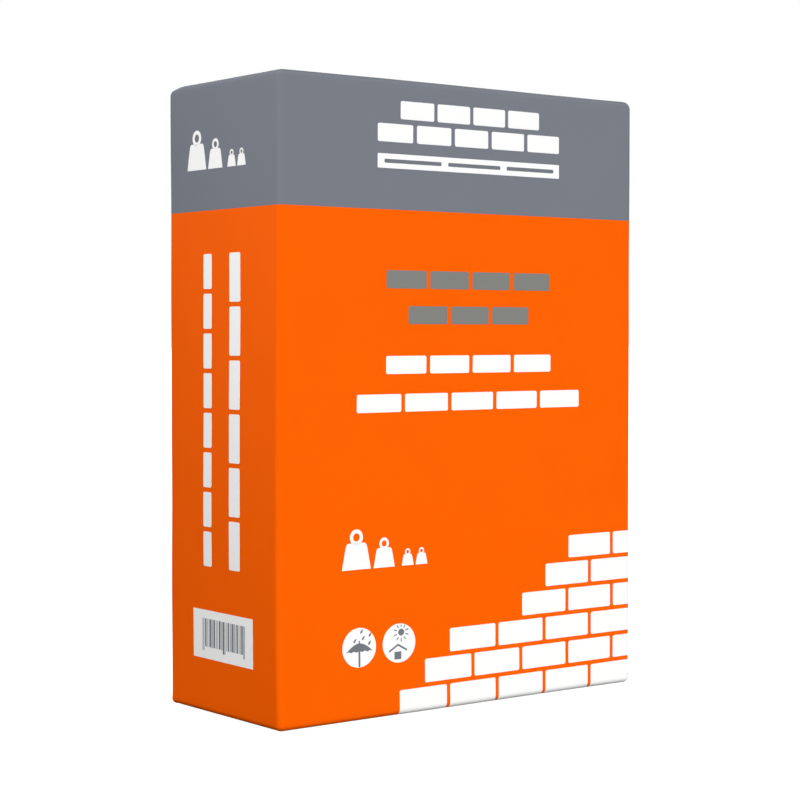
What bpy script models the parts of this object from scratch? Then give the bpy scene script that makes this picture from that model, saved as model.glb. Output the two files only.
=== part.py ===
"""Cement bag: a filled paper valve sack with block ends, standing upright on its bottom patch.

The broad printed front faces -Y, the filling valve opens in the +X side just under the top,
and the origin is the middle of the footprint on the floor. Lengths are in metres.
"""

import math

import bmesh
import bpy
from mathutils import Vector

# Driving dimensions of the standing bag
WIDTH = 0.3215
DEPTH = 0.1395
HEIGHT = 0.440

# Paper: three plies of about 0.1 mm, drawn as one wall that a solid can hold
WALL = 0.0006
PATCH_PAPER = 0.0005
SLEEVE_PAPER = 0.0004
SEAM_STEP = 0.0005
GLUE_GAP = 0.0003

# The pressed edges of the filled sack
EDGE_RADIUS = 0.004
EDGE_SEGMENTS = 5

# The lengthwise seam down the middle of the back, where the tube's two edges overlap.
# It dips under both ends, so that its own rounded ends lie inside the sack's.
SEAM_WIDTH = 0.040
SEAM_DIP = 0.0002
SEAM_DEPTH = 0.012

# The cover sheets on the two ends
PATCH_INSET = 0.0095
PATCH_CORNER = 0.006
CORNER_SEGMENTS = 6

# The flattened filling sleeve
VALVE_WIDTH = 0.098
VALVE_LENGTH = 0.090
VALVE_LUMEN = 0.0003
MOUTH_SETBACK = 0.0003

# How far a cutter runs past what it cuts
CUT_PAST = 0.010

# Faces that meet at less than this are shaded as one curve
SMOOTH_ANGLE = math.radians(35)

# Levels that follow from the dimensions above
SACK_BOTTOM = PATCH_PAPER + GLUE_GAP
SACK_TOP = HEIGHT - PATCH_PAPER - GLUE_GAP
BACK_WALL = DEPTH / 2 - SEAM_STEP
SLEEVE_HEIGHT = 2 * SLEEVE_PAPER + VALVE_LUMEN
SLIT_TOP = SACK_TOP - WALL - GLUE_GAP
SLIT_BOTTOM = SLIT_TOP - SLEEVE_HEIGHT - 2 * GLUE_GAP
FILL_TOP = SLIT_BOTTOM

# Colours are linear RGB
ORANGE = (1.0, 0.127, 0.001)
GREY = (0.195, 0.209, 0.242)
KRAFT = (0.420, 0.262, 0.130)
CEMENT = (0.270, 0.266, 0.248)


def clear_scene():
    """Remove every object that the scene starts with."""
    for thing in list(bpy.data.objects):
        bpy.data.objects.remove(thing, do_unlink=True)


def surface(name, colour, roughness):
    """A material with one Principled BSDF."""
    made = bpy.data.materials.new(name)
    made.use_nodes = True
    shader = made.node_tree.nodes["Principled BSDF"]
    shader.inputs["Base Color"].default_value = (*colour, 1.0)
    shader.inputs["Roughness"].default_value = roughness
    shader.inputs["Metallic"].default_value = 0.0
    return made


def add_object(name, mesh_data, material=None):
    """Turn a bmesh into an object whose origin is the bag's own."""
    mesh = bpy.data.meshes.new(name)
    mesh_data.to_mesh(mesh)
    mesh_data.free()
    made = bpy.data.objects.new(name, mesh)
    if material is not None:
        mesh.materials.append(material)
    bpy.context.scene.collection.objects.link(made)
    return made


def box_between(low, high):
    """A bmesh box between its lowest and highest corner."""
    low = Vector(low)
    high = Vector(high)
    shape = bmesh.new()
    bmesh.ops.create_cube(shape, size=1.0)
    size = high - low
    bmesh.ops.scale(shape, vec=size, verts=shape.verts)
    bmesh.ops.translate(shape, vec=(low + high) / 2, verts=shape.verts)
    return shape


def round_edges(shape, edges, radius, segments):
    """Round the given edges with circular arcs."""
    bmesh.ops.bevel(
        shape,
        geom=edges,
        offset=radius,
        segments=segments,
        profile=0.5,
        affect="EDGES",
        clamp_overlap=True,
    )


def pillow(low, high, radius):
    """A box with all twelve edges rounded, as a filled sack's are."""
    shape = box_between(low, high)
    round_edges(shape, shape.edges[:], radius, EDGE_SEGMENTS)
    return shape


def sheet(low, high, corner):
    """A flat sheet with its four corners rounded in plan."""
    shape = box_between(low, high)
    upright = [e for e in shape.edges if abs((e.verts[0].co - e.verts[1].co).normalized().z) > 0.9]
    round_edges(shape, upright, corner, CORNER_SEGMENTS)
    return shape


def as_guide(thing):
    """Mark an object as a cutter or an added shape that isn't a piece of the bag."""
    thing.hide_render = True
    thing.display_type = "WIRE"
    return thing


def combine(target, other, operation):
    """Join or cut the target with another shape."""
    step = target.modifiers.new(other.name, "BOOLEAN")
    step.operation = operation
    step.solver = "EXACT"
    step.object = other


def make_sack(material):
    """The paper tube with its closed ends: a thin wall, open only at the valve."""
    half = WIDTH / 2
    front = -DEPTH / 2
    outer = pillow((-half, front, SACK_BOTTOM), (half, BACK_WALL, SACK_TOP), EDGE_RADIUS)
    sack = add_object("sack", outer, material)

    lap = pillow(
        (-SEAM_WIDTH / 2, BACK_WALL - SEAM_DEPTH, SACK_BOTTOM + SEAM_DIP),
        (SEAM_WIDTH / 2, DEPTH / 2, SACK_TOP - SEAM_DIP),
        EDGE_RADIUS,
    )
    combine(sack, as_guide(add_object("seam_shape", lap)), "UNION")

    cavity = pillow(
        (-half + WALL, front + WALL, SACK_BOTTOM + WALL),
        (half - WALL, BACK_WALL - WALL, SACK_TOP - WALL),
        EDGE_RADIUS - WALL,
    )
    combine(sack, as_guide(add_object("cavity_shape", cavity)), "DIFFERENCE")

    slit = box_between(
        (half - CUT_PAST, -VALVE_WIDTH / 2 - GLUE_GAP, SLIT_BOTTOM),
        (half + CUT_PAST, VALVE_WIDTH / 2 + GLUE_GAP, SLIT_TOP),
    )
    combine(sack, as_guide(add_object("slit_shape", slit)), "DIFFERENCE")
    return sack


def make_patch(name, bottom, material):
    """A cover sheet glued flat on one end of the sack."""
    x = WIDTH / 2 - PATCH_INSET
    y = DEPTH / 2 - PATCH_INSET
    return add_object(name, sheet((-x, -y, bottom), (x, y, bottom + PATCH_PAPER), PATCH_CORNER), material)


def make_sleeve(material):
    """The filling sleeve: a paper tube pressed flat, from its mouth at the side inwards."""
    mouth = WIDTH / 2 - MOUTH_SETBACK
    bottom = SLIT_BOTTOM + GLUE_GAP
    top = bottom + SLEEVE_HEIGHT
    y = VALVE_WIDTH / 2
    sleeve = add_object(
        "valve_sleeve",
        box_between((mouth - VALVE_LENGTH, -y, bottom), (mouth, y, top)),
        material,
    )
    lumen = box_between(
        (mouth - VALVE_LENGTH - CUT_PAST, -y + SLEEVE_PAPER, bottom + SLEEVE_PAPER),
        (mouth + CUT_PAST, y - SLEEVE_PAPER, top - SLEEVE_PAPER),
    )
    combine(sleeve, as_guide(add_object("lumen_shape", lumen)), "DIFFERENCE")
    return sleeve


def make_fill(material):
    """The cement powder: it fills the sack up to the underside of the sleeve."""
    clear = WALL + GLUE_GAP
    half = WIDTH / 2 - clear
    return add_object(
        "cement_fill",
        pillow(
            (-half, -DEPTH / 2 + clear, SACK_BOTTOM + clear),
            (half, BACK_WALL - clear, FILL_TOP),
            EDGE_RADIUS - clear,
        ),
        material,
    )


def shade(thing):
    """Smooth the rounded edges and keep the folds crisp."""
    thing.data.shade_smooth()
    thing.data.set_sharp_from_angle(angle=SMOOTH_ANGLE)


def build():
    """Make the bag's five pieces."""
    clear_scene()
    orange = surface("orange_printed_paper", ORANGE, 0.42)
    grey = surface("grey_printed_paper", GREY, 0.42)
    kraft = surface("brown_kraft_paper", KRAFT, 0.80)
    powder = surface("cement_powder", CEMENT, 0.95)
    pieces = [
        make_sack(orange),
        make_patch("top_patch", HEIGHT - PATCH_PAPER, grey),
        make_patch("bottom_patch", 0.0, orange),
        make_sleeve(kraft),
        make_fill(powder),
    ]
    for piece in pieces:
        shade(piece)


build()
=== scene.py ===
# %% [markdown]
# # A filled cement bag
# The object is a paper valve sack that holds 25 kg of cement and stands on its flat bottom.
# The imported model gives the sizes: the paper sack, the sheets glued over its two ends, the
# filling sleeve and the cement. This notebook gives each of them its surface, its print and
# its paper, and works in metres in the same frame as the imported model.

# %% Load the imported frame
import math

import bmesh
import bpy
import numpy as np
from mathutils import Matrix, Vector


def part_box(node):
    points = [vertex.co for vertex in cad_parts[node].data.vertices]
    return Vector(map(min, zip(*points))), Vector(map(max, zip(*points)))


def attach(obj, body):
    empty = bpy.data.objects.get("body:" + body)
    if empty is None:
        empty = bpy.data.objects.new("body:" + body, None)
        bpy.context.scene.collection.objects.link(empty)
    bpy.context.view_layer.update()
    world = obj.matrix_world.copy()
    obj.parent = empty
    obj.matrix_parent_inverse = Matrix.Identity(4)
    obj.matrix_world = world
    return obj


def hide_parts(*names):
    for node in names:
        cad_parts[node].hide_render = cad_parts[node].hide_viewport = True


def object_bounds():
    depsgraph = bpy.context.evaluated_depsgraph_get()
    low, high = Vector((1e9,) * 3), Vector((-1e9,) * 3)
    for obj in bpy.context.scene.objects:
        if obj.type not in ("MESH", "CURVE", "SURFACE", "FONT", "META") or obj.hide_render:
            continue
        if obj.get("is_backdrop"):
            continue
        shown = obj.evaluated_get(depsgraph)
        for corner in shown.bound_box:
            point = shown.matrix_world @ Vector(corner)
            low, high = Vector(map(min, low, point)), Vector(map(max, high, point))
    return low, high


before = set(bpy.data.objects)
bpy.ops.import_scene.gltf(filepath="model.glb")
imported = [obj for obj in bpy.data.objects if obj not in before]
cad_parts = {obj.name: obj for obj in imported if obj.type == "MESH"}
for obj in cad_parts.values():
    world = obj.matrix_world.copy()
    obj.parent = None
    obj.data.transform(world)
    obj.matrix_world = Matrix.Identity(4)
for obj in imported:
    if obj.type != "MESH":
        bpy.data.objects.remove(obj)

CAD_LOW, CAD_HIGH = (tuple(corner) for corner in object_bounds())
SACK_LOW, SACK_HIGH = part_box("sack")
print("packed box in mm:", [round(1000 * (h - l), 1) for l, h in zip(CAD_LOW, CAD_HIGH)])

# %% [markdown]
# ## Where the camera stands
# A broad side and a narrow side of the bag show, with the near upright edge between them.
# The place, the turn and the lens were found by fitting the eight corners of the bag to the
# outline in the picture, with upright lines that lean in slightly towards the floor, so the
# camera looks a little down. No lens shift is needed.

# %% Camera
MM = 0.001
CAMERA_PLACE = (-0.91655, -1.16608, 0.26515)
CAMERA_TURN = math.radians(-37.974)
CAMERA_DIP = math.radians(1.889)
FOCAL_PIXELS = 2020.0
PICTURE_PIXELS = 800.0
SENSOR = 36.0


def make_camera():
    """A perspective camera; its lens in mm is the focal length in pixels times sensor over picture width."""
    data = bpy.data.cameras.new("camera")
    data.sensor_width = SENSOR
    data.lens = SENSOR * FOCAL_PIXELS / PICTURE_PIXELS
    data.clip_start = 0.05
    data.clip_end = 100.0
    camera = bpy.data.objects.new("camera", data)
    camera.location = CAMERA_PLACE
    camera.rotation_euler = (math.pi / 2 - CAMERA_DIP, 0.0, CAMERA_TURN)
    bpy.context.scene.collection.objects.link(camera)
    bpy.context.scene.camera = camera
    return camera


camera = make_camera()
print("lens in mm:", round(camera.data.lens, 2))

# %% [markdown]
# ## Small tools
# Every new piece is a grid of points worked out with numpy. The points go into a mesh as
# quads, points that fall on each other are joined, so that poles and seams close, and the
# faces are shaded smooth with a crease only where they really meet at an angle.


# %% Tools for grids
def smooth(x, low, high):
    """0 below low, 1 above high, and the soft step 3s^2 - 2s^3 between them."""
    s = np.clip((x - low) / (high - low), 0.0, 1.0)
    return s * s * (3.0 - 2.0 * s)


def quads(rows, columns, wrap_rows=False, wrap_columns=False):
    """Corner numbers of the quads of a grid, each (here, next column, next both, next row)."""
    index = np.arange(rows * columns).reshape(rows, columns)
    if wrap_rows:
        index = np.vstack([index, index[:1]])
    if wrap_columns:
        index = np.hstack([index, index[:, :1]])
    corners = (index[:-1, :-1], index[:-1, 1:], index[1:, 1:], index[1:, :-1])
    return np.stack([c.ravel() for c in corners], axis=1)


WELD = 2e-6
CREASE = math.radians(40)


def make_piece(name, points, faces, materials, slots=None):
    """One object at the origin from points and quads, welded, smooth, with its materials."""
    mesh = bpy.data.meshes.new(name)
    mesh.from_pydata(points.reshape(-1, 3).tolist(), [], faces.tolist())
    if slots is not None:
        mesh.polygons.foreach_set("material_index", slots.astype(np.int32))
    for material in materials:
        mesh.materials.append(material)
    work = bmesh.new()
    work.from_mesh(mesh)
    bmesh.ops.remove_doubles(work, verts=work.verts, dist=WELD)
    loose = [v for v in work.verts if not v.link_faces]
    bmesh.ops.delete(work, geom=loose, context="VERTS")
    open_edges = sum(1 for e in work.edges if len(e.link_faces) != 2)
    volume = work.calc_volume(signed=True)
    work.to_mesh(mesh)
    work.free()
    mesh.shade_smooth()
    mesh.set_sharp_from_angle(angle=CREASE)
    piece = bpy.data.objects.new(name, mesh)
    bpy.context.scene.collection.objects.link(piece)
    print(f"{name}: {len(mesh.polygons)} faces, {open_edges} open edges, {1e6 * volume:.1f} cm3")
    return piece


# %% [markdown]
# ## The shape of the sack
# Filled and pressed flat, the paper tube is a rounded rectangle in plan, and its ends are
# folded flat over the cement. One function describes all of it. Round the girth each point
# has a place along a side and a turn round a corner. From the floor up it has an inset from
# the side and a height, which go round a quarter circle at the two ends and then inwards to
# the middle of the end, so the grid's lines run along the 45 degree folds of the corners.
# The quarter circle at the foot is the larger one, since the powder's weight rounds it.

# %% The sack's measures
EDGE = 4.0 * MM
FOOT_EDGE = 4.4 * MM
SEAM_STEP = 0.5 * MM
HALF_WIDTH = SACK_HIGH[0]
HALF_DEPTH = (SACK_HIGH[1] - SEAM_STEP - SACK_LOW[1]) / 2
MIDDLE_DEPTH = (SACK_HIGH[1] - SEAM_STEP + SACK_LOW[1]) / 2
FOOT = SACK_LOW[2]
HEAD = SACK_HIGH[2]
BAND = 349.9 * MM
FACE_TURN = {"front": -0.5 * math.pi, "right": 0.0, "back": 0.5 * math.pi, "left": math.pi}


def straight_length(face):
    """Half the flat stretch of a side, between its two rounded corners."""
    return (HALF_WIDTH if face in ("front", "back") else HALF_DEPTH) - EDGE


def round_girth(face, across):
    """Girth place of a distance across a face, seen from outside, right positive.

    Up to the flat's end only the place along the side grows. Past it the rest of the
    distance becomes a turn round the corner, in radians of the corner's radius.
    """
    flat = straight_length(face)
    along = np.clip(across, -flat, flat)
    turn = FACE_TURN[face]
    side = along / flat
    xi = round(math.cos(turn)) + side * round(math.cos(turn + math.pi / 2))
    eta = round(math.sin(turn)) + side * round(math.sin(turn + math.pi / 2))
    return xi, eta, turn + (across - along) / EDGE


def up_section(up):
    """(inset, height, tilt) of a distance up the wall, which rolls round the end edges."""
    level = np.clip(up, FOOT + FOOT_EDGE, HEAD - EDGE)
    radius = np.where(up < level, FOOT_EDGE, EDGE)
    tilt = (up - level) / radius
    return radius * (1.0 - np.cos(tilt)), level + radius * np.sin(tilt), tilt


# %% [markdown]
# ## What keeps the sack from being a perfect box
# Paper over powder is never quite flat. Four long, shallow waves, all under a fifth of a
# millimetre, carry the light across the broad sides. The outermost corners of the top give
# way a little where the folded paper is empty. The upright edge at the front left leans a
# millimetre and bows as much, since the powder pushes it out, and two corners of the foot
# are pressed full. The lengthwise seam of the tube steps up by the thickness of its overlap on
# the back: a cut edge on one side, a soft ramp on the other.
# All of it is part of the one function, so the print follows it too.

# %% Relief of the sack
WAVES = (
    # wavelength in mm, height in mm, direction across x, y and up
    (212.0, 0.11, (0.9, 0.5, 0.35)),
    (131.0, 0.08, (-0.4, 0.8, 0.75)),
    (88.0, 0.05, (0.6, -0.7, 0.85)),
    (57.0, 0.025, (1.0, 0.6, -0.5)),
)
CORNER_GIVE = (
    # side across, side in depth, drop in mm, reach in mm
    (-1, 1, 2.2, 9.5),
    (1, 1, 1.4, 9.0),
    (1, -1, 2.0, 3.8),
    (-1, -1, 0.25, 5.0),
    (-1, 0.2, 0.10, 60.0),
)
FOOT_PUSH = 1.3 * MM
EDGE_BOW = 1.4 * MM
FOOT_FILL = (
    # side across, side in depth, push in mm, reach in mm
    (-1, 1, 1.1, 4.0),
    (1, -1, 0.6, 5.0),
    (1, -1, 0.3, 50.0),
)
FOOT_FILL_HIGH = 7.0 * MM
SEAM_EDGE = 20.0 * MM
SEAM_RAMP = (-22.0 * MM, -18.0 * MM)
SEAM_CUT = 0.1 * MM
PLY = 0.25 * MM
MOUTH_HALF = 49.3 * MM
MOUTH_LOW = HEAD - 2.6 * MM
MOUTH_HIGH = HEAD - 0.9 * MM
MOUTH_DEEP = 1.4 * MM
MOUTH_EDGE = 0.12 * MM


def swell(x, y, z):
    """Sum of sine waves, each with its own length, height and direction."""
    total = np.zeros(np.broadcast(x, y, z).shape)
    for length, height, (dx, dy, dz) in WAVES:
        phase = 2 * math.pi * (dx * x + dy * y + dz * z) / (length * MM)
        total = total + height * MM * np.sin(phase + length)
    return total


def corner_drop(x, y, z):
    """How far the top corners sag: a bell round each corner, fading down the wall."""
    near_top = smooth(z, HEAD - 0.030, HEAD - 0.002)
    total = np.zeros(np.broadcast(x, y, z).shape)
    for sx, sy, drop, reach in CORNER_GIVE:
        far = np.hypot(x - sx * HALF_WIDTH, y - MIDDLE_DEPTH - sy * HALF_DEPTH)
        total = total + drop * MM * np.exp(-((far / (reach * MM)) ** 2))
    return total * near_top


def edge_lean(x, y, z):
    """The lean and bow of the front left edge: a shift in x.

    The lean grows evenly from the head to the foot, and the bow is half a sine wave of the
    square of the way down. Both fall off evenly along the two sides, to nothing at their ends.
    """
    across = np.clip((HALF_WIDTH - x) / (2 * HALF_WIDTH), 0.0, 1.0)
    deep = np.clip((MIDDLE_DEPTH + HALF_DEPTH - y) / (2 * HALF_DEPTH), 0.0, 1.0)
    down = np.clip((HEAD - z) / (HEAD - FOOT), 0.0, 1.0)
    return -(FOOT_PUSH * down + EDGE_BOW * np.sin(math.pi * down**2)) * across * deep


def foot_fill(x, y, z):
    """How far the powder's weight presses the foot's corners full: a bell round each of them."""
    near_foot = 1.0 - smooth(z, FOOT, FOOT + FOOT_FILL_HIGH)
    total = np.zeros(np.broadcast(x, y, z).shape)
    for sx, sy, push, reach in FOOT_FILL:
        far = np.hypot(x - sx * HALF_WIDTH, y - MIDDLE_DEPTH - sy * HALF_DEPTH)
        total = total + push * MM * np.exp(-((far / (reach * MM)) ** 2))
    return total * near_foot


def seam_height(x, eta, tilt):
    """Height of the overlap on the back: a ramp on one side and a cut edge on the other."""
    rise = smooth(x, *SEAM_RAMP) * np.clip((SEAM_EDGE + SEAM_CUT - x) / (2 * SEAM_CUT), 0.0, 1.0)
    return SEAM_STEP * rise * (eta > 0.999) * np.clip(np.cos(tilt), 0.0, 1.0)


def mouth_depth(y, z, xi, phi):
    """The slot in the right side's top edge that the sleeve comes out of."""
    wide = np.clip((MOUTH_HALF - np.abs(y)) / MOUTH_EDGE, 0.0, 1.0)
    low = np.clip((z - MOUTH_LOW) / MOUTH_EDGE, 0.0, 1.0)
    high = np.clip((MOUTH_HIGH - z) / MOUTH_EDGE, 0.0, 1.0)
    return MOUTH_DEEP * wide * low * high * ((xi > 0.999) & (np.abs(phi) < 0.01))


def tuck_depth(xi, eta, inset):
    """On the ends, the short sides' folds lie one ply under the flaps of the long sides."""
    short_side = (np.abs(xi) > 0.999) & (np.abs(eta) < 0.995)
    return PLY * short_side * smooth(inset, EDGE, EDGE + 1.0 * MM)


def sack_surface(xi, eta, phi, inset, z, tilt, lift=0.0):
    """Points of the sack's surface, or of a film that lies lift above it.

    The plan is a rectangle with rounded corners, made smaller by the inset: the corner's
    centre times the girth place, plus the corner's remaining radius in the direction phi.
    The relief and the lift go along the outward direction.
    """
    corner = np.maximum(EDGE - inset, 0.0)
    x = xi * (HALF_WIDTH - inset - corner) + corner * np.cos(phi)
    y = MIDDLE_DEPTH + eta * (HALF_DEPTH - inset - corner) + corner * np.sin(phi)
    x, y, z, tilt = np.broadcast_arrays(x, y, z, tilt)
    calm = smooth(z, FOOT, FOOT + 0.030)
    out = swell(x, y, z) * calm + seam_height(x, eta, tilt) - mouth_depth(y, z, xi, phi)
    out = out - tuck_depth(xi, eta, inset) + foot_fill(x, y, z) + lift
    level = np.cos(tilt)
    points = np.stack(
        [
            x + edge_lean(x, y, z) + out * level * np.cos(phi),
            y + out * level * np.sin(phi),
            z + out * np.sin(tilt) - corner_drop(x, y, z),
        ],
        axis=-1,
    )
    return points


print("sack in mm:", [round(1000 * (h - l), 1) for l, h in zip(SACK_LOW, SACK_HIGH)])

# %% [markdown]
# ## Colours and a way to write materials
# Colours are written as the sRGB hex values that a paint program shows, and one function
# turns them to the linear light that the renderer works in. One small function adds a node,
# sets it and links it, so that a material reads from top to bottom as a list of its parts.


# %% Tools for materials
def linear(hex_colour):
    """Linear RGBA of an sRGB hex colour: each channel through the sRGB curve."""
    parts = np.array([int(hex_colour[i : i + 2], 16) for i in (1, 3, 5)]) / 255.0
    curved = np.where(parts <= 0.04045, parts / 12.92, ((parts + 0.055) / 1.055) ** 2.4)
    return (*curved.tolist(), 1.0)


def add_node(tree, kind, inputs=None, **settings):
    """Adds a node, sets its properties, and fills its inputs with values or links."""
    made = tree.nodes.new(kind)
    for key, value in settings.items():
        setattr(made, key, value)
    for key, value in (inputs or {}).items():
        if isinstance(value, bpy.types.NodeSocket):
            tree.links.new(value, made.inputs[key])
        else:
            made.inputs[key].default_value = value
    return made


def new_material(name):
    """An empty node material and its tree, with only the output left in."""
    material = bpy.data.materials.new(name)
    material.use_nodes = True
    tree = material.node_tree
    tree.nodes.clear()
    return material, tree


# %% [markdown]
# ## Printed sack paper
# The outer ply is bleached sack kraft with a thin coating, printed all over by flexography.
# The coating gives the print its satin look: a soft, wide highlight and no mirror. Ink on
# paper is even from afar, but its density drifts by a few per cent over centimetres, and
# the fibres leave a fine tooth in the surface. The real tooth is about 0.1 mm, too fine for
# the picture, so it is drawn at 0.9 mm, and the cockling of damp paper over powder at 28 mm.

# %% Printed paper
DENSITY_SIZE = 60.0 * MM
COCKLE_SIZE = 28.0 * MM
TOOTH_SIZE = 0.9 * MM
PAPER_IOR = 1.5


def printed_paper(name, ink, rough=0.55, drift=0.96, tooth=0.010 * MM, cockle=0.08 * MM, shine=0.018):
    """Ink on coated paper: drifting density, fibre tooth and cockling in the bump."""
    material, tree = new_material(name)
    place = add_node(tree, "ShaderNodeTexCoord").outputs["Object"]
    density = add_node(
        tree, "ShaderNodeTexNoise", {"Vector": place, "Scale": 1 / DENSITY_SIZE, "Detail": 3.0, "Roughness": 0.55}
    )
    colour = linear(ink)
    thin = tuple(c * drift for c in colour[:3]) + (1.0,)
    # a colour Mix shares its sockets' names with the number Mix, so its colours are set by place
    tone = add_node(tree, "ShaderNodeMix", {"Factor": density.outputs["Fac"]}, data_type="RGBA")
    tone.inputs[6].default_value = thin
    tone.inputs[7].default_value = colour
    cockles = add_node(
        tree, "ShaderNodeTexNoise", {"Vector": place, "Scale": 1 / COCKLE_SIZE, "Detail": 2.0, "Roughness": 0.45}
    )
    fibres = add_node(
        tree, "ShaderNodeTexNoise", {"Vector": place, "Scale": 1 / TOOTH_SIZE, "Detail": 2.0, "Roughness": 0.6}
    )
    rolling = add_node(
        tree, "ShaderNodeBump", {"Height": cockles.outputs["Fac"], "Distance": cockle, "Strength": 1.0}
    )
    toothed = add_node(
        tree,
        "ShaderNodeBump",
        {
            "Height": fibres.outputs["Fac"],
            "Distance": tooth,
            "Strength": 1.0,
            "Normal": rolling.outputs["Normal"],
        },
    )
    gloss = add_node(
        tree,
        "ShaderNodeMapRange",
        {"Value": cockles.outputs["Fac"], "To Min": rough - 0.05, "To Max": rough + 0.05},
    )
    shader = add_node(
        tree,
        "ShaderNodeBsdfPrincipled",
        {
            "Base Color": tone.outputs[2],
            "Roughness": gloss.outputs["Result"],
            "IOR": PAPER_IOR,
            "Specular IOR Level": shine,
            "Normal": toothed.outputs["Normal"],
        },
    )
    add_node(tree, "ShaderNodeOutputMaterial", {"Surface": shader.outputs["BSDF"]})
    return material


orange_ink = printed_paper("orange_flexo_print_on_coated_kraft", "#F86000")
grey_ink = printed_paper("grey_flexo_print_on_coated_kraft", "#767A83")
white_ink = printed_paper("white_flexo_print_on_coated_kraft", "#F8F8F7")
dark_ink = printed_paper("dark_grey_flexo_print_on_coated_kraft", "#72767E")
# grey over orange loses its blue cast, because the orange below shows through the ink a little
grey_over_orange = printed_paper("grey_flexo_overprint_on_orange", "#80817D")
print("printed papers:", [m.name for m in bpy.data.materials])

# %% [markdown]
# ## Bare kraft paper and cement
# Where the paper is cut, its brown inner plies show as a thin line, and the filling sleeve
# is plain brown kraft: matt, with long fibres that make it slightly streaky. The cement is a
# fine grey powder with no gloss at all. It is inside the sack and never seen.


# %% Kraft and powder
FIBRE_SIZE = 1.6 * MM
GRAIN_SIZE = 0.7 * MM


def plain_matt(name, light, dark, size, stretch, relief, rough):
    """A matt material that varies between two colours, with grains drawn out along one axis."""
    material, tree = new_material(name)
    place = add_node(tree, "ShaderNodeTexCoord").outputs["Object"]
    drawn = add_node(tree, "ShaderNodeMapping", {"Vector": place, "Scale": stretch})
    grain = add_node(
        tree,
        "ShaderNodeTexNoise",
        {"Vector": drawn.outputs["Vector"], "Scale": 1 / size, "Detail": 4.0, "Roughness": 0.65},
    )
    tone = add_node(tree, "ShaderNodeMix", {"Factor": grain.outputs["Fac"]}, data_type="RGBA")
    tone.inputs[6].default_value = linear(dark)
    tone.inputs[7].default_value = linear(light)
    bump = add_node(
        tree, "ShaderNodeBump", {"Height": grain.outputs["Fac"], "Distance": relief, "Strength": 1.0}
    )
    shader = add_node(
        tree,
        "ShaderNodeBsdfPrincipled",
        {
            "Base Color": tone.outputs[2],
            "Roughness": rough,
            "IOR": PAPER_IOR,
            "Specular IOR Level": 0.25,
            "Normal": bump.outputs["Normal"],
        },
    )
    add_node(tree, "ShaderNodeOutputMaterial", {"Surface": shader.outputs["BSDF"]})
    return material


kraft = plain_matt("brown_sack_kraft_cut_edge", "#C39A6B", "#A67C50", FIBRE_SIZE, (0.25, 1.0, 1.0), 0.02 * MM, 0.82)
powder = plain_matt("cement_powder", "#A3A29C", "#8B8A85", GRAIN_SIZE, (1.0, 1.0, 1.0), 0.15 * MM, 0.97)

# %% [markdown]
# ## The sack's skin
# One closed grid wraps the whole sack. Its columns go round the girth, close together at
# the four upright edges and at the seam, and its rows go from the middle of the bottom, up
# the wall and over to the middle of the top. One row lies exactly where the grey band meets
# the orange, so the border between the two inks is a clean line in the mesh.

# %% Columns and rows of the skin
STEP = 4.0 * MM
CORNER_STEPS = 7


def side_places(face):
    """Places across a face: an even grid plus the lines that the seam or the mouth needs."""
    flat = straight_length(face)
    places = np.linspace(-flat, flat, int(round(2 * flat / STEP)) + 1)
    near_ends = flat - np.array([0.6, 1.6]) * MM
    if face in ("front", "back"):
        extra = [SEAM_EDGE - SEAM_CUT, SEAM_EDGE + SEAM_CUT, SEAM_RAMP[0], SEAM_RAMP[1]]
        extra = extra + [-e for e in extra]
    else:
        shift = MIDDLE_DEPTH
        mouth = [MOUTH_HALF, MOUTH_HALF - MOUTH_EDGE]
        extra = [e - shift for e in mouth] + [-e - shift for e in mouth]
        extra = extra + [-e for e in extra]
    return np.unique(np.concatenate([places, near_ends, -near_ends, extra]))


def girth_columns():
    """Girth places of all the columns, face by face, with each corner's arc after its face."""
    parts = []
    for face in ("front", "right", "back", "left"):
        across = side_places(face)
        arc = straight_length(face) + EDGE * np.linspace(0, math.pi / 2, CORNER_STEPS + 1)[1:-1]
        parts.append(np.array(round_girth(face, np.concatenate([across, arc]))))
    return np.concatenate(parts, axis=1)


def section_rows():
    """Inset, height and tilt of all the rows, from the bottom's middle to the top's middle."""
    arc = np.linspace(0, math.pi / 2, CORNER_STEPS + 3)[1:]
    mouth = np.array([MOUTH_LOW, MOUTH_LOW + MOUTH_EDGE, MOUTH_HIGH - MOUTH_EDGE, MOUTH_HIGH])
    mouth_up = HEAD - EDGE + EDGE * np.arcsin((mouth - (HEAD - EDGE)) / EDGE)
    wall = np.linspace(FOOT + FOOT_EDGE, HEAD - EDGE, int(round((HEAD - FOOT) / STEP)) - 1)
    wall = np.append(wall[np.abs(wall - BAND) > 0.3 * STEP], BAND)
    foot_up = FOOT + FOOT_EDGE * (1.0 - arc)
    up = np.unique(np.concatenate([foot_up, wall, HEAD - EDGE * (1.0 - arc), mouth_up]))
    inset, z, tilt = up_section(up)
    near = np.array([0.5, 1.0, 2.0, 4.0]) * MM
    inward = np.concatenate([EDGE + near, np.linspace(12 * MM, HALF_DEPTH, 15)])
    foot_inward = np.concatenate([FOOT_EDGE + near, np.linspace(12 * MM, HALF_DEPTH, 15)])
    flat = np.full(inward.shape, math.pi / 2)
    inset = np.concatenate([foot_inward[::-1], inset, inward])
    z = np.concatenate([np.full(inward.shape, FOOT), z, np.full(inward.shape, HEAD)])
    tilt = np.concatenate([-flat, tilt, flat])
    return inset[:, None], z[:, None], tilt[:, None]


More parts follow.
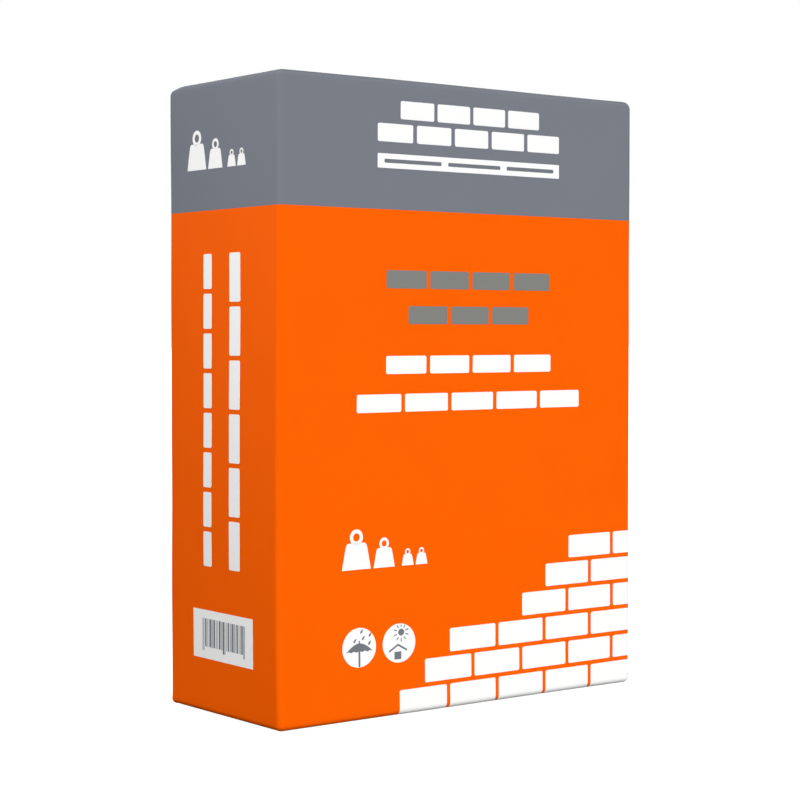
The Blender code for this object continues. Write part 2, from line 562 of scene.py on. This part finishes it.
def make_skin():
    """The printed paper sack as one closed surface, orange below the band and grey above."""
    xi, eta, phi = girth_columns()
    inset, z, tilt = section_rows()
    points = sack_surface(xi, eta, phi, inset, z, tilt)
    rows, columns = points.shape[:2]
    faces = quads(rows, columns, wrap_columns=True)
    row_z = 0.5 * (z[1:, 0] + z[:-1, 0])
    slots = np.repeat((row_z > BAND).astype(int), columns).reshape(-1, columns)
    middle = 0.5 * (points[:, :, 0] + np.roll(points[:, :, 0], -1, axis=1))[:-1]
    on_wall = (np.abs(tilt[:-1, 0]) < 1.0)[:, None] & (eta > 0.999)[None, :]
    slots[on_wall & (np.abs(middle - SEAM_EDGE) < SEAM_CUT)] = 2
    return make_piece("sack_skin", points, faces, (orange_ink, grey_ink, kraft), slots.ravel())


skin = make_skin()
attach(skin, "root")
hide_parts("sack")

# %% [markdown]
# ## The sheets glued over the ends
# A block end is closed by folding in the short sides, then the two long flaps, one over the
# other, and gluing a cover sheet on top. The sheet is a thin piece of the same printed
# paper. It is pressed down at its rim, and the folds below it show through as shallow
# steps: along the 45 degree lines from the corners, and where the long flaps overlap.

# %% End sheets
SHEET_INSET = 9.5 * MM
SHEET_CORNER = 6.0 * MM
SHEET_THICK = 0.3 * MM
SHEET_STEP = 1.6 * MM
LAP_HALF = 11.0 * MM


def folds_below(x, y):
    """Depth under the sheet, in plies, from the layers below: 0 over the overlap, 1 over the
    flaps and 2 over the short sides' tucks, with soft steps 3 mm wide."""
    edge = 1.5 * MM
    to_side = HALF_WIDTH - np.abs(x)
    to_front = HALF_DEPTH - np.abs(y)
    tucked = 1.0 - smooth(to_side - to_front, -edge, edge)
    lapped = smooth(LAP_HALF - np.abs(y), -edge, edge) * (1.0 - tucked)
    return 1.0 - lapped + tucked


def end_sheet(name, glued, outside, materials):
    """A cover sheet between its glued face and its outer face.

    Its grid goes round a rounded rectangle and inwards with an inset, along the glued side,
    round the cut edge and back over the outer side. The rim lies one thickness above the
    glued face, and the middle rises to the outer face.
    """
    half_x = HALF_WIDTH - SHEET_INSET
    half_y = HALF_DEPTH - SHEET_INSET
    up = 1.0 if outside > glued else -1.0
    parts = []
    for turn in FACE_TURN.values():
        flat = (half_x if round(math.cos(turn)) == 0 else half_y) - SHEET_CORNER
        side = np.linspace(-1.0, 1.0, int(round(2 * flat / SHEET_STEP)) + 1)
        xi = round(math.cos(turn)) + side * round(math.cos(turn + math.pi / 2))
        eta = round(math.sin(turn)) + side * round(math.sin(turn + math.pi / 2))
        arc = turn + np.linspace(0.0, math.pi / 2, CORNER_STEPS + 3)[1:-1]
        parts.append(
            np.array(
                [
                    np.append(xi, np.full(arc.shape, xi[-1])),
                    np.append(eta, np.full(arc.shape, eta[-1])),
                    np.append(np.full(side.shape, turn), arc),
                ]
            )
        )
    xi, eta, phi = np.concatenate(parts, axis=1)
    inward = np.concatenate([[0.0, 0.3 * MM, 1.0 * MM], np.linspace(SHEET_STEP, half_y, int(half_y / SHEET_STEP))])
    inward = np.unique(inward)
    inset = np.concatenate([inward[::-1], inward])[:, None]
    corner = np.maximum(SHEET_CORNER - inset, 0.0)
    x = xi * (half_x - inset - corner) + corner * np.cos(phi)
    y = eta * (half_y - inset - corner) + corner * np.sin(phi)
    rise = (abs(outside - glued) - SHEET_THICK) * smooth(inset, 0.0, 7.0 * MM)
    sunk = PLY * folds_below(x, y) * smooth(inset, 0.0, 5.0 * MM)
    top = np.broadcast_to(glued + up * (SHEET_THICK + rise - np.minimum(sunk, rise)), x.shape)
    upper = (np.arange(inset.shape[0]) >= len(inward))[:, None]
    z = np.where(upper, top, glued)
    points = np.stack([x, y + MIDDLE_DEPTH, z], axis=-1)
    rows, columns = points.shape[:2]
    faces = quads(rows, columns, wrap_columns=True)
    if up < 0:
        faces = faces[:, ::-1]
    slots = np.zeros((rows - 1, columns), dtype=int)
    slots[len(inward) - 1] = 1
    return make_piece(name, points, faces, materials, slots.ravel())


TOP_GLUE = HEAD - 0.1 * MM
top_cover = end_sheet("top_cover_sheet", TOP_GLUE, CAD_HIGH[2], (grey_ink, kraft))
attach(top_cover, "root")
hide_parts("top_patch")

bottom_cover = end_sheet("bottom_cover_sheet", FOOT + 0.1 * MM, CAD_LOW[2], (orange_ink, kraft))
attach(bottom_cover, "root")
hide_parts("bottom_patch")

# %% [markdown]
# ## The filling sleeve
# The spout of the packing machine goes into a flattened paper tube in one end of the sack.
# The cement then presses it shut from inside. Only its mouth shows, as two brown lips in
# the top edge of the right side. The wall of the tube is a closed loop in section: out
# along the outer face, round the lip and back along the inner face.

# %% Filling sleeve
SLEEVE_LOW, SLEEVE_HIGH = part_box("valve_sleeve")
SLEEVE_PAPER = 0.28 * MM
LIP_OUT = 0.25 * MM
LIP_GAP = 0.35 * MM
GAP_REACH = 6.0 * MM


def make_sleeve():
    """A flattened tube: a long thin oval carried along x, its lips a little apart at the mouth."""
    middle = 0.5 * (SLEEVE_LOW[2] + SLEEVE_HIGH[2])
    half = 0.5 * (SLEEVE_HIGH[1] - SLEEVE_LOW[1])
    mouth = SLEEVE_HIGH[0] + LIP_OUT
    inner = SLEEVE_LOW[0] + 60.0 * MM
    around = np.linspace(0.0, 2 * math.pi, 97)[:-1]
    out = np.array([inner, mouth - 8 * MM, mouth - 4 * MM, mouth - 1 * MM, mouth - 0.1 * MM])
    along = np.concatenate([out, [mouth], out[::-1]])
    wall = np.concatenate([np.full(len(out), 1.0), [0.5], np.zeros(len(out))])
    open_by = LIP_GAP * smooth(along, mouth - GAP_REACH, mouth) + 0.04 * MM
    flat = np.abs(np.cos(around)) ** 0.25 * np.sign(np.cos(around))
    bow = np.sqrt(1.0 - np.abs(flat) ** 6)
    y = (half - (1.0 - wall[:, None]) * SLEEVE_PAPER) * flat
    z = middle + np.sign(np.sin(around)) * bow * (open_by[:, None] + SLEEVE_PAPER * wall[:, None])
    x = np.broadcast_to(along[:, None], y.shape)
    points = np.stack([x, y, z], axis=-1)
    faces = quads(*points.shape[:2], wrap_rows=True, wrap_columns=True)
    return make_piece("valve_mouth", points, faces, (kraft,))


sleeve = make_sleeve()
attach(sleeve, "root")
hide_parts("valve_sleeve")

# %% [markdown]
# ## The cement
# The powder's solid is right as it is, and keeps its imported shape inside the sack. It only
# gets its own material.

# %% Cement
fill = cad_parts["cement_fill"]
fill.data.materials.clear()
fill.data.materials.append(powder)

# %% [markdown]
# ## Printing
# The print is a thin film of ink. Each printed shape is a pair of curves, one along its
# lower edge and one along its upper edge, in millimetres across and up a face as it is seen
# from outside, and the surface between them is a grid of two parameters. The same function
# that shapes the sack carries the film, a few hundredths of a millimetre above the paper,
# so it follows every wave and rolls round the edges. Its rim dips into the paper, and an
# underside just below the paper's surface closes it, so that each film is a solid.

# %% Tools for printing
FILM = 0.08 * MM
SECOND_FILM = 0.13 * MM
RIM = 0.08
RIM_DROP = 0.11 * MM
PRINT_STEP = 5.0
FRONT_FLAT = 1000 * straight_length("front")


def between(low, high, step=PRINT_STEP, closed=False):
    """A printed shape from two curves, arrays of (across, up) in mm. Returns flat points and a rim mask."""
    tall = float(np.abs(high - low).max())
    count = int(tall / step) + 2
    edge = min(RIM / max(tall, 1e-6), 0.2)
    part = np.concatenate([[0.0], np.linspace(edge, 1.0 - edge, count), [1.0]])[:, None, None]
    points = (1.0 - part) * low + part * high
    rim = np.zeros(points.shape[:2], dtype=bool)
    rim[[0, -1]] = True
    if not closed:
        rim[:, [0, -1]] = True
    return points, rim


def brick(left, right, bottom, top, corner=1.5, step=PRINT_STEP):
    """A rounded bar. Near each end its half height shrinks along a quarter circle."""
    half_x = 0.5 * (right - left)
    half_z = 0.5 * (top - bottom)
    ends = corner * np.array([0.0, 0.04, 0.12, 0.25, 0.42, 0.62, 0.85, 1.0])
    flat = np.arange(left + corner, right - corner, 4.0)
    rolled = np.arange(FRONT_FLAT, max(right, FRONT_FLAT), 0.5)
    across = np.unique(np.round(np.concatenate([left + ends, flat, rolled, right - ends]), 4))
    across = across[(across >= left) & (across <= right)]
    to_end = np.maximum(half_x - np.abs(across - 0.5 * (left + right)), 0.0)
    cut = np.clip(corner - to_end, 0.0, corner)
    height = half_z - corner + np.sqrt(np.maximum(corner**2 - cut**2, 0.0))
    middle = 0.5 * (bottom + top)
    low = np.stack([across, middle - height], axis=-1)
    high = np.stack([across, middle + height], axis=-1)
    return between(low, high, step)


def oval(x, z, half_x, half_z):
    """A round spot from its lower and upper halves: the sine of a turn over minus its cosine."""
    t = np.linspace(0.0, math.pi, 41)
    across = x - half_x * np.cos(t)
    height = half_z * np.sin(t)
    low = np.stack([across, z - height], axis=-1)
    high = np.stack([across, z + height], axis=-1)
    return between(low, high)


def ring(x, z, inner, outer):
    """The area between two circles."""
    turn = np.linspace(0.0, 2 * math.pi, 49)
    circle = np.stack([np.cos(turn), -np.sin(turn)], axis=-1)
    return between((x, z) + inner * circle, (x, z) + outer * circle, closed=True)


def stroke(x, z, length, width, angle):
    """A straight mark centred on a point, turned by an angle, with rounded ends."""
    t = np.linspace(0.0, 1.0, 9)[:, None]
    along = np.array([math.cos(angle), math.sin(angle)])
    aside = np.array([-math.sin(angle), math.cos(angle)])
    half = 0.5 * width * np.minimum(1.0, 4.0 * np.sqrt(t * (1.0 - t)) + 0.05)
    line = np.array([x, z]) + (t - 0.5) * length * along
    return between(line - half * aside, line + half * aside)


def print_on(name, face, shapes, material, film=FILM):
    """Lays the shapes on a face of the sack as one film of ink, its upper side and its underside."""
    all_points, all_faces, start = [], [], 0
    for flat_points, rim in shapes:
        across = flat_points[..., 0] * MM
        inset, z, tilt = up_section(flat_points[..., 1] * MM)
        xi, eta, phi = round_girth(face, across)
        faces = quads(*rim.shape)
        under = film - RIM_DROP
        for lift, side_faces in ((np.where(rim, under, film), faces), (under, faces[:, ::-1])):
            points = sack_surface(xi, eta, phi, inset, z, tilt, lift)
            all_points.append(points.reshape(-1, 3))
            all_faces.append(side_faces + start)
            start += rim.size
    piece = make_piece(name, np.concatenate(all_points), np.concatenate(all_faces), (material,))
    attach(piece, "root")
    return piece


# %% [markdown]
# ## The print on the front
# The bag carries a plain decoration in place of any name: courses of brick, in the grey,
# white and orange of the rest. A short double course and a white strip stand in the grey
# band, four courses in the middle of the orange, and a stepped wall of larger bricks runs
# off the lower right corner.

# %% Courses of brick
JOINT = 3.2


def course(left, right, bottom, top, count, joint=JOINT, corner=1.4):
    """A row of equal bricks with joints between them."""
    length = (right - left - (count - 1) * joint) / count
    starts = left + (length + joint) * np.arange(count)
    return [brick(s, s + length, bottom, top, corner) for s in starts]


WALL_BRICK = 42.0
WALL_JOINT = 3.0
WALL_COURSE = 19.6
WALL_LEFT = (-60.0, -37.5, -15.0, 52.5, 75.0, 97.5)
WALL_RIGHT = 161.4
WALL_BOTTOM = 1.6
ROLL_UNDER = 3.2


def stepped_wall():
    """Six courses in running bond, each starting further right, cut off at the upright edge."""
    shapes = []
    for level, start in enumerate(WALL_LEFT):
        bottom = WALL_BOTTOM + level * WALL_COURSE
        top = bottom + WALL_COURSE - WALL_JOINT
        foot = bottom - (0.0 if level else ROLL_UNDER)
        step = PRINT_STEP if level else 0.5
        left = start
        while left < WALL_RIGHT - 6.0:
            right = min(left + WALL_BRICK, WALL_RIGHT)
            shapes.append(brick(left, right, foot, top, 1.4, step))
            left = right + WALL_JOINT
    return shapes


white_shapes = (
    course(-79.8, 86.6, 396.0, 408.5, 5)
    + course(-60.2, 67.0, 412.0, 424.5, 4, JOINT * 0.9)
    + course(-71.8, 79.0, 237.2, 249.7, 4)
    + course(-96.6, 107.0, 211.0, 223.5, 5)
    + stepped_wall()
    + [brick(-79.8, 86.6, 378.0, 388.0, 0.6)]
)
front_white = print_on("front_white_courses", "front", white_shapes, white_ink)
grey_shapes = course(-71.8, 77.6, 296.0, 308.5, 4) + course(-52.6, 57.2, 271.5, 284.0, 3)
front_grey = print_on("front_grey_courses", "front", grey_shapes, grey_over_orange)
strip_shapes = [brick(l, r, 381.6, 384.4, 0.9) for l, r in ((-74, -24), (-18, 30), (36, 81))]
front_strip = print_on("front_strip_marks", "front", strip_shapes, dark_ink, SECOND_FILM)

# %% [markdown]
# ## Weight and handling marks
# A set of weights with rings stands for the filled weight. Two round marks are the usual handling
# signs for powder in paper: an umbrella in the rain for keep dry, and a sun over a roofed
# box for keep out of the heat. They are drawn from arcs and straight marks.


# %% Weight marks
def weight_mark(x, z, tall):
    """A cast weight: a body that narrows upwards, with soft shoulders, and a ring handle.

    The body's top is the lower of its level top and its slanting sides, blended softly.
    """
    body = 0.66 * tall
    half_low, half_high = 0.44 * tall, 0.31 * tall
    across = -np.cos(np.linspace(0.0, math.pi, 33)) * half_low
    slope = body / (half_low - half_high)
    side = slope * (half_low - np.abs(across))
    soft = 0.08 * tall
    top = -soft * np.log(np.exp(-side / soft) + math.exp(-body / soft))
    top = np.clip(top, 0.02, None)
    low = np.stack([x + across, np.full(across.shape, z)], axis=-1)
    high = np.stack([x + across, z + top], axis=-1)
    return [between(low, high), ring(x, z + 0.80 * tall, 0.10 * tall, 0.20 * tall)]


WEIGHT_SIZES = ((12.4, 27.6), (36.0, 20.6), (56.4, 11.8), (68.6, 11.8))


def weight_set(left, z):
    """A large, a middle and two small weights side by side, given by their middles and heights."""
    return [shape for x, tall in WEIGHT_SIZES for shape in weight_mark(left + x, z, tall)]


front_weights = print_on("front_weight_marks", "front", weight_set(-109.0, 104.6), white_ink)


# %% Handling marks
def canopy(x, z, half, tall, scallops=5, dip=1.1):
    """An umbrella's canopy: a flat arch that ends in points above, and scallops below."""
    t = np.linspace(0.0, 1.0, 51)
    across = x + half * (2 * t - 1)
    arch = tall * (1.0 - np.abs(2 * t - 1) ** 1.8)
    fringe = np.minimum(dip * np.abs(np.sin(math.pi * scallops * t)), 0.7 * arch)
    low = np.stack([across, z + fringe], axis=-1)
    high = np.stack([across, z + arch], axis=-1)
    return between(low, high)


DROP_FULL = 2.49


def drop(x, z, length, width, angle):
    """A falling drop: round at its lower end, narrowing to a point along the angle.

    Its half width is the square root of the way along times the rest of the way to the 0.9,
    which is 1 over 2.49 at its fullest.
    """
    t = np.linspace(0.0, 1.0, 15)[:, None]
    along = np.array([math.cos(angle), math.sin(angle)])
    aside = np.array([-math.sin(angle), math.cos(angle)])
    half = 0.5 * width * DROP_FULL * np.sqrt(t) * (1.0 - t) ** 0.9 + 0.02
    line = np.array([x, z]) + (t - 0.5) * length * along
    return between(line - half * aside, line + half * aside)


def roof(x, z, half, tall, thick):
    """A ridge roof: a bent strip of even thickness."""
    t = np.linspace(0.0, 1.0, 21)
    across = x + half * (2 * t - 1)
    ridge = z + tall * (1.0 - np.abs(2 * t - 1))
    low = np.stack([across, ridge], axis=-1)
    high = np.stack([across, ridge + thick], axis=-1)
    return between(low, high)


DRY_MARK = (-94.5, 51.25)
COOL_MARK = (-60.2, 51.2)
MARK_HALF = (14.25, 13.6)
discs = [oval(*DRY_MARK, *MARK_HALF), oval(*COOL_MARK, *MARK_HALF)]
mark_discs = print_on("handling_mark_discs", "front", discs, white_ink)


RAIN = ((-3.6, 5.0), (2.1, 11.0), (3.5, 6.4), (9.3, 8.3), (8.7, 2.7))


def umbrella(x, z):
    """Canopy with its tip, a long shaft, and five slanting drops."""
    shapes = [canopy(x, z - 3.3, 11.6, 6.3, dip=0.8)]
    shapes.append(brick(x - 0.78, x + 0.78, z - 13.3, z + 1.0, 0.3))
    shapes.append(stroke(x, z + 3.4, 3.0, 1.2, math.pi / 2))
    return shapes + [drop(x + dx, z + dz, 3.7, 1.6, math.radians(52)) for dx, dz in RAIN]


RAYS = 10
RAY_NEAR = 3.6
RAY_FAR = 6.9
RAY_CUT = 1.4


def sun_over_box(x, z):
    """A sun above a roof with a box under it. The topmost ray is shorter, where the spot ends."""
    sun_x, sun_z = x + 1.85, z + 7.4
    shapes = [oval(sun_x, sun_z, 2.65, 2.45)]
    for turn in np.linspace(0.0, 2 * math.pi, RAYS + 1)[:-1] + math.pi / 2:
        far = RAY_FAR - RAY_CUT * max(math.sin(turn), 0.0) ** 4
        away = 0.5 * (RAY_NEAR + far)
        place = (sun_x + away * math.cos(turn), sun_z + away * math.sin(turn))
        shapes.append(stroke(*place, far - RAY_NEAR, 0.9, turn))
    shapes.append(roof(x - 1.0, z - 6.4, 8.3, 4.5, 1.6))
    shapes.append(brick(x - 4.15, x + 1.75, z - 11.2, z - 5.8, 0.3))
    return shapes


mark_signs = print_on(
    "handling_mark_signs", "front", umbrella(*DRY_MARK) + sun_over_box(*COOL_MARK), dark_ink, SECOND_FILM
)

# %% [markdown]
# ## The print on the narrow side
# The side repeats the decoration upright: two long courses, the weight mark in the band,
# and a white panel with upright bars near the foot. The bars carry no code: their widths
# follow a short sum and mean nothing.


# %% Side print
def upright_course(left, right, bottom, top, count, joint=JOINT):
    """A column of equal bricks standing on end."""
    length = (top - bottom - (count - 1) * joint) / count
    starts = bottom + (length + joint) * np.arange(count)
    return [brick(left, right, s, s + length, 1.4) for s in starts]


side_shapes = (
    upright_course(9.5, 23.0, 103.5, 320.0, 6)
    + upright_course(-23.5, -13.0, 103.5, 320.0, 8)
    + weight_set(-44.5, 378.4)
)
side_white = print_on("side_white_courses", "left", side_shapes, white_ink)
panel = print_on("side_white_panel", "left", [brick(-37.2, 38.8, 38.9, 72.9, 0.2)], white_ink)

BAR_UNIT = 0.62
LONG_BARS = (0, 1, 14, 15, 27, 28)
bars = []
edge = -25.0
for number in range(30):
    wide = BAR_UNIT * (1 + (number * number + 2 * number) % 3)
    bars.append(brick(edge, edge + wide, 44.4 if number in LONG_BARS else 47.3, 67.0, 0.1))
    edge += wide + BAR_UNIT * (1 + (number * 5) % 7 % 2)
    if edge > 28.5:
        break
side_bars = print_on("side_panel_bars", "left", bars, dark_ink, SECOND_FILM)
print("bars on the panel:", len(bars), "up to", round(edge, 1), "mm")

# %% [markdown]
# ## Floor and light
# The bag stands on a plain pale floor that glows by itself, like a light table, so it throws
# no shadow there. The glow is hidden from every ray but the camera's, because light from
# below would brighten the foot of the bag. White walls all round, under a dark ceiling, give
# soft light from the sides. A soft sun, low in front, lights the broad side evenly. A lamp
# with a soft edge, behind the narrow side, fades from its top to its foot, which a sun can't
# do, and a weaker sun lights the back.

# %% Floor
FLOOR_SIZE = 60.0
FLOOR_LEVEL = -0.05 * MM
FLOOR_GLOW = 0.95


def make_floor():
    """A plain pale floor, one flat grid. No diffuse or glossy ray sees it, so it lights nothing."""
    span = np.linspace(-FLOOR_SIZE / 2, FLOOR_SIZE / 2, 5)
    x, y = np.meshgrid(span, span)
    points = np.stack([x, y, np.full_like(x, FLOOR_LEVEL)], axis=-1)
    material, tree = new_material("white_acrylic_light_table")
    white = linear("#F6F6F6")
    shader = add_node(
        tree,
        "ShaderNodeBsdfPrincipled",
        {
            "Base Color": white,
            "Roughness": 0.9,
            "Specular IOR Level": 0.1,
            "Emission Color": white,
            "Emission Strength": FLOOR_GLOW,
        },
    )
    add_node(tree, "ShaderNodeOutputMaterial", {"Surface": shader.outputs["BSDF"]})
    made = make_piece("studio_floor", points, quads(5, 5), (material,))
    made.visible_diffuse = False
    made.visible_glossy = False
    return made


floor = make_floor()
floor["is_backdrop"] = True

# %% Light
WALL_LIGHT = 1.56
WALL_TOP = (0.35, 0.75)
ROOM_SEEN = 1.0


def make_room():
    """A ring of white walls as light on the bag, and plain white where the camera looks past it.

    The light is even from the floor line up to a height in the sky, and fades softly above it.
    The height is the upward part of the direction, 0 at the floor line and 1 overhead.
    """
    world = bpy.data.worlds.new("studio")
    world.use_nodes = True
    tree = world.node_tree
    tree.nodes.clear()
    direction = add_node(tree, "ShaderNodeTexCoord").outputs["Generated"]
    height = add_node(tree, "ShaderNodeSeparateXYZ", {"Vector": direction}).outputs["Z"]
    walls = add_node(
        tree,
        "ShaderNodeMapRange",
        {"Value": height, "From Min": WALL_TOP[0], "From Max": WALL_TOP[1], "To Min": WALL_LIGHT, "To Max": 0.0},
        interpolation_type="SMOOTHSTEP",
    )
    above = add_node(
        tree,
        "ShaderNodeMapRange",
        {"Value": height, "From Min": 0.0, "From Max": 0.02, "To Max": walls.outputs["Result"]},
    )
    straight = add_node(tree, "ShaderNodeLightPath").outputs["Is Camera Ray"]
    level = add_node(
        tree, "ShaderNodeMapRange", {"Value": straight, "To Min": above.outputs["Result"], "To Max": ROOM_SEEN}
    )
    white = add_node(tree, "ShaderNodeBackground", {"Color": (1, 1, 1, 1), "Strength": level.outputs["Result"]})
    add_node(tree, "ShaderNodeOutputWorld", {"Surface": white.outputs["Background"]})
    bpy.context.scene.world = world


def make_lamp(name, kind, place, aim, power, **settings):
    """A lamp of a kind that stands at a place and points at another."""
    data = bpy.data.lights.new(name, kind)
    data.energy = power
    for key, value in settings.items():
        setattr(data, key, value)
    lamp = bpy.data.objects.new(name, data)
    lamp.location = place
    lamp.rotation_euler = (Vector(aim) - Vector(place)).to_track_quat("-Z", "Y").to_euler()
    bpy.context.scene.collection.objects.link(lamp)
    return lamp


make_room()
KEY_SOFT = math.radians(20)
key = make_lamp("key_lamp", "SUN", (-0.93, -2.7, 1.24), (0.0, 0.0, 0.2), 2.06, angle=KEY_SOFT)
side = make_lamp(
    "side_lamp",
    "SPOT",
    (-1.31, 0.73, 0.90),
    (-0.16, -0.60, 0.557),
    49.0,
    spot_size=math.radians(57),
    spot_blend=1.0,
    shadow_soft_size=0.05,
)
back = make_lamp("back_lamp", "SUN", (1.4, 3.0, 1.0), (0.0, 0.0, 0.2), 1.1, angle=KEY_SOFT)
bpy.context.scene.view_settings.view_transform = "Standard"

# %% [markdown]
# ## Sizes and the end
# The dressed bag has to keep the size of the imported one.

# %% Print the sizes
new_low, new_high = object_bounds()
boxes = {
    "cad": [list(CAD_LOW), list(CAD_HIGH)],
    "visual": [[float(v) for v in new_low], [float(v) for v in new_high]],
}
for name, (low, high) in boxes.items():
    print(name, "mm:", [round(1000 * v, 2) for v in low], [round(1000 * v, 2) for v in high])
